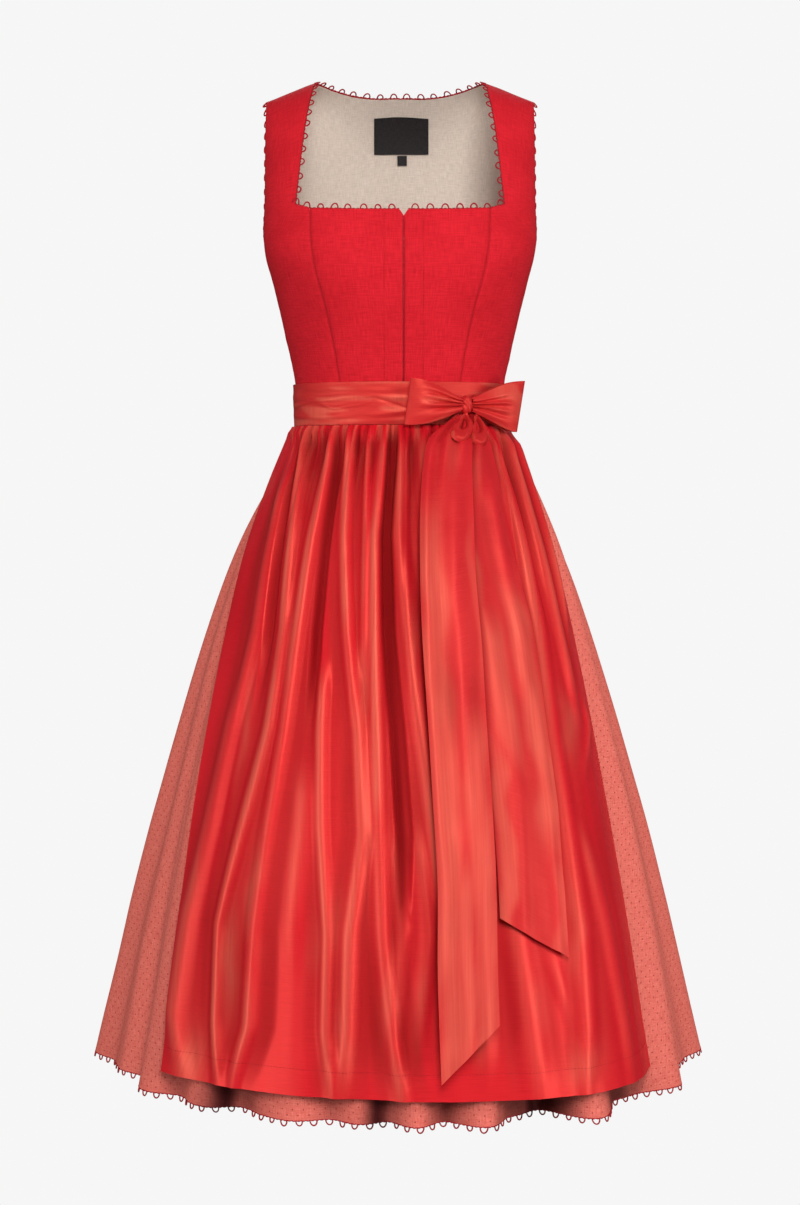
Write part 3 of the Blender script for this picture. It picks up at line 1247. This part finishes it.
def tail_shine(name, across, down, seed):
    shine = 0 * across
    for start, end, half, low, high, strength in TAIL_GLOSS[name]:
        life = lasting(down, low, high, 0.1, 0.1)
        edge = mix(start, end, down) + 0.22 * soft_noise(9 * start, down * 13, seed)
        shine = np.maximum(shine, strength * life * np.exp(-((across - edge) / half) ** 4))
    return shine * (0.85 + 0.15 * soft_noise(across * 3, down * 24, seed + 1))


def bow_tail(name, tail, cut, seed):
    across, down = grid(np.linspace(-1, 1, 46), np.linspace(0, 1, 170) ** 1.15)

    def surface(a, d):
        return tail_point(tail, a, d)

    base = surface(across, down)
    normals = -normals_of(surface, across, down, 0.02, 0.002)
    out = 0.0 * across
    for start, end, height, half, low, high in TAIL_CREASES[name]:
        life = lasting(down, low, high, 0.08, 0.12)
        out = out + height * life * bell(across - mix(start, end, down), half)
    out = out + 0.0013 * soft_noise(across * 1.5 + down * 1.2, down * 7, seed)
    out = out + 0.0004 * soft_noise(across * 3.2, down * 19, seed + 1)
    outer = base + normals * (0.0008 + out)[..., None]
    inner = outer - normals * THICKNESS["satin"]
    hollow = hollow_of(out, 9, 0.006)
    if tail is TAIL_BACK:
        hollow = np.maximum(hollow, beside_tail(outer, TAIL_FRONT, 1, 0.6))
    piece = shell(name, outer, inner, SATIN_TAIL, hollow, tail_shine(name, across, down, seed + 9))
    return settle(piece, [name], cut)


PETALS = [  # the ribbon's own hollow folds under the knot, lying on the tails
    {"name": "bow_fold_front", "tail": TAIL_FRONT, "at": 0.46, "half": 0.60, "down": 0.053, "height": 0.0066},
    {"name": "bow_fold_back", "tail": TAIL_BACK, "at": 0.26, "half": 0.64, "down": 0.070, "height": 0.0066},
]


def bow_petal(petal):
    """A fold of ribbon that hangs from the knot like a drop, with a raised rim round a hollow."""
    u, v = grid(np.linspace(-1, 1, 48), np.linspace(-1, 1, 48))

    def in_circle(a, b):
        return a * np.sqrt(1 - b**2 / 2), b * np.sqrt(1 - a**2 / 2)

    def lying_on(a, b):
        return tail_point(petal["tail"], a, b)

    def surface(a, b):
        aside, below = in_circle(a, b)
        radius = np.minimum(np.hypot(aside, below), 1)
        wide = 0.30 + 0.70 * smooth(-1, 0.35, below)
        across = petal["at"] + petal["half"] * aside * wide
        reach = petal["down"] * (below + 1) / 2
        under = -normals_of(lying_on, across, reach + 0.004, 0.02, 0.003)
        rim = 0.2 + 0.8 * smooth(0.12, 0.56, radius)
        rim = rim * np.sqrt(np.maximum(1 - smooth(0.86, 1.02, radius), 0))
        return lying_on(across, reach) + under * (0.0022 + petal["height"] * rim)[..., None]

    outer = surface(u, v)
    normals = -normals_of(surface, u, v, 0.01, 0.01)
    inner = outer - normals * THICKNESS["satin"]
    radius = np.hypot(*in_circle(u, v))
    hollow = 0.9 * (1 - smooth(0.12, 0.5, radius)) * (1 - smooth(0.1, 0.9, v))
    shine = 0.5 * smooth(0.4, 0.7, radius) * smooth(0.0, 0.7, soft_noise(2.5 * u, 2.5 * v, 151))
    return settle(shell(petal["name"], outer, inner, SATIN_BOW, hollow, shine))


bow_knot()
for loop in LOOPS:
    bow_loop(loop)
for petal in PETALS:
    bow_petal(petal)
bow_tail("bow_tail_back", TAIL_BACK, (0.086, 0.587, 0.040), 101)
bow_tail("bow_tail_front", TAIL_FRONT, (0.083, 0.700, 0.042), 105)

# ------------------------------------------------------------------ picot edging

PICOT = {"pitch": 0.0158, "width": 0.0070, "height": 0.0056, "thread": 0.00080, "inset": 0.0006}
PICOT_TURN = 1.75  # how far round each loop runs from its top, in radians
HEM_INSET = 0.12  # degrees between the hem's edging and the side seam
NOTCH_HALF = 0.0048  # how far from the notch's middle the neckline's edging starts
COUCHING = {"step": 0.0012, "stitch": 0.0024, "height": 0.00035}


def stations_along(points, normals, sense):
    """Place, outward normal and way out of the cloth, along an edge."""
    along = unit(np.gradient(points, axis=0))
    away = unit(np.cross(along, normals)) * sense
    length = np.concatenate([[0], np.cumsum(np.linalg.norm(np.diff(points, axis=0), axis=1))])

    def at(distance):
        def read(values):
            return np.stack([np.interp(distance, length, values[:, k]) for k in range(3)], axis=-1)
        return read(points), unit(read(normals)), unit(read(away)), unit(read(along))

    return at, length[-1]


def picot_paths(points, normals, sense, seed):
    at, total = stations_along(points, normals, sense)
    count = round(total / PICOT["pitch"])
    random = np.random.RandomState(seed)
    paths = []
    turn = np.linspace(-PICOT_TURN, PICOT_TURN, 15)
    base = math.cos(PICOT_TURN)
    for k in range(count):
        middle = total * (k + 0.5) / count + random.uniform(-0.0007, 0.0007)
        point, normal, away, along = at(middle)
        point = point - normal * PICOT["inset"]
        grow = random.uniform(0.9, 1.08)
        side = np.sin(turn) * PICOT["width"] / 2 * grow
        up = (np.cos(turn) - base) / (1 - base) * PICOT["height"] * grow
        leaning = random.uniform(-0.12, 0.12)
        path = point + np.outer(side + leaning * up, along) + np.outer(up, away)
        path = path + np.outer(np.linspace(-0.5, 0.5, len(turn)) * PICOT["thread"], normal)
        paths.append(path)
    # A couched thread between the loops, with a small bump at each stitch.
    distance = np.linspace(0, total, int(total / COUCHING["step"]))
    point, normal, away, _ = at(distance)
    wave = COUCHING["height"] * (1 + np.sin(distance / COUCHING["stitch"] * math.pi))
    paths.append(point - normal * PICOT["inset"] + away * wave[:, None])
    return paths


def hem_shade(points):
    return valley_shade(np.arctan2(points[:, 0], -points[:, 1]) / DEG)


def edging(name, lines, shade=None):
    """Each line is its points, their normals, which side the loops stand out to, and a seed."""
    paths = [path for line in lines for path in picot_paths(*line)]
    piece = threads(name, paths, PICOT["thread"], PICOT_THREAD, shade=shade)
    return settle(piece, [name])


def hem_line(low, high, on):
    fold = np.linspace(low + HEM_INSET, high - HEM_INSET, 900)
    z = np.full_like(fold, HEM_Z)
    return skirt_point(fold, z, skirt_detail(fold, z, SKIRT_SEEDS[on])), skirt_normals(fold, z)


def joined(*lines):
    return [np.concatenate(parts) for parts in zip(*lines)]


def armhole_line(mirror):
    """Up the front of the armhole and down its back."""
    rise = np.linspace(0, SHOULDER_RISE, 120)
    back = rise[::-1]
    return joined(
        bodice_line(mirror * armhole_turn(rise), rise),
        bodice_line(mirror * (180 - armhole_turn(back)), back),
    )


def neckline_half(mirror):
    """From the closing along the front, up the strap and round the back to its centre."""
    x = np.linspace(CLOSING_X * mirror + NOTCH_HALF, NECK_SEAM_X, 60)
    angle = front_angle(mirror * x, 0)
    rise = np.linspace(NECK_CORNER_RISE, SHOULDER_RISE, 90)
    back_x = np.linspace(STRAP_TOP_X, 0.0, 70)
    return joined(
        bodice_line(angle, neck_rise(angle)),
        bodice_line(mirror * front_angle(STRAP_INNER.read("x", rise), 0), rise),
        bodice_line(mirror * back_angle(back_x, 0), BACK_NECK.read("rise", back_x)),
    )


edging("hem_edging_front", [(*hem_line(-SIDE_SEAM, SIDE_SEAM, "skirt_front"), 1, 111)], hem_shade)
edging("hem_edging_back", [(*hem_line(SIDE_SEAM, 360 - SIDE_SEAM, "skirt_back"), 1, 112)])
edging("armhole_edging_left", [(*armhole_line(1), 1, 113)])
edging("armhole_edging_right", [(*armhole_line(-1), -1, 114)])
edging("neckline_edging", [(*neckline_half(1), -1, 115), (*neckline_half(-1), 1, 116)])

# ------------------------------------------------------------------ sewing


STITCH = {"length": 0.0026, "gap": 0.0010, "radius": 0.00022}
STITCH_RISE = np.array([-0.0002, 0.0002, 0.0003, 0.0002, -0.0002])
CLOSING_SEWN = {"aside": 0.021, "bottom": -158, "top": 5.5}
APRON_HEM = 0.026


def stitches(name, lines):
    """A row of stitches along each line, which is its points and their normals."""
    length, gap = STITCH["length"], STITCH["gap"]
    paths = []
    for points, normals in lines:
        at, total = stations_along(points, normals, 1)
        for start in np.arange(gap, total - length, length + gap):
            point, normal, _, _ = at(start + length * np.linspace(0, 1, 5))
            paths.append(point + normal * STITCH_RISE[:, None])
    return settle(threads(name, paths, STITCH["radius"], RED_THREAD, 4))


def beside_closing(mirror):
    level = np.linspace(CLOSING_SEWN["bottom"], CLOSING_SEWN["top"], 90)
    return bodice_line(front_angle(CLOSING_X + mirror * CLOSING_SEWN["aside"], level), level)


def above_apron_hem():
    z = np.full(600, APRON_HEM_Z + APRON_HEM)
    fold = np.linspace(-APRON_EDGE + APRON_RIGHT_TRIM + 0.6, APRON_EDGE - 0.4, 600)
    return apron_surface(fold, z), normals_of(apron_surface, fold, z, 0.1, 0.001)


stitches("closing_stitches", [beside_closing(1), beside_closing(-1)])
stitches("apron_hem_stitches", [above_apron_hem()])

# ------------------------------------------------------------------ studio

FOCAL_PIXELS = 2270.957
IMAGE_HEIGHT = 1205
SENSOR = 36
CAMERA = {"y": -2.55833, "z": -0.44305, "down": 3.0733}
FLOOR_Z = -1.55
COVE = {"radius": 5.0, "corner": 1.6, "wall": 7.0, "glow": 0.922}


def studio():
    camera = placed("camera", bpy.data.cameras.new("camera"))
    camera.data.sensor_width = SENSOR
    camera.data.lens = SENSOR * FOCAL_PIXELS / IMAGE_HEIGHT
    camera.data.clip_end = 60
    camera.location = (0, CAMERA["y"], CAMERA["z"])
    camera.rotation_euler = (math.radians(90 - CAMERA["down"]), 0, 0)
    bpy.context.scene.camera = camera

    def area(name, place, width, height, power):
        light = placed(name, bpy.data.lights.new(name, "AREA"))
        light.data.shape = "RECTANGLE"
        light.data.size = width
        light.data.size_y = height
        light.data.energy = power
        light.location = place
        towards = Vector((0, 0, -0.6)) - Vector(place)
        light.rotation_euler = towards.to_track_quat("-Z", "Y").to_euler()

    area("key", (0.3, -3.0, 1.1), 0.9, 1.7, 78)
    area("fill_left", (-2.9, -2.1, -0.6), 1.4, 2.0, 50)
    area("fill_right", (2.9, -2.1, -0.6), 1.4, 2.0, 62)
    area("behind", (0.0, 3.6, 2.2), 2.0, 1.6, 70)

    world = bpy.data.worlds.new("studio")
    world.use_nodes = True
    light_all_round = world.node_tree.nodes["Background"].inputs
    light_all_round["Color"].default_value = (1, 1, 1, 1)
    light_all_round["Strength"].default_value = 0.10
    bpy.context.scene.world = world
    bpy.context.scene.view_settings.view_transform = "Standard"


def backdrop():
    """A pale floor that curves up into walls all round, like a studio cove."""
    radius, corner = COVE["radius"], COVE["corner"]
    bend = np.linspace(0, math.pi / 2, 14)
    reach = np.concatenate([[0], radius - corner + corner * np.sin(bend), [radius]])[:, None]
    height = np.concatenate([[0], corner - corner * np.cos(bend), [corner + COVE["wall"]]])[:, None]
    turn = np.linspace(0, 2 * math.pi, 97)[:-1]
    points = stack(reach * np.cos(turn), reach * np.sin(turn), FLOOR_Z + height)
    index = np.arange(reach.size * turn.size).reshape(reach.size, turn.size)
    mesh = bpy.data.meshes.new("floor")
    mesh.from_pydata(points.reshape(-1, 3).tolist(), [], ring_quads(index).tolist())
    mesh.shade_smooth()
    pale = bpy.data.materials.new("pale_paper")
    pale.use_nodes = True
    finish = {
        "Base Color": (0, 0, 0, 1), "Roughness": 1.0, "Specular IOR Level": 0.0,
        "Emission Color": (1, 1, 1, 1), "Emission Strength": COVE["glow"],
    }
    for key, value in finish.items():
        pale.node_tree.nodes["Principled BSDF"].inputs[key].default_value = value
    mesh.materials.append(pale)
    floor = placed("floor", mesh)
    floor.visible_diffuse = False
    floor.visible_glossy = False
    floor.visible_shadow = False


studio()
backdrop()

bpy.context.view_layer.update()
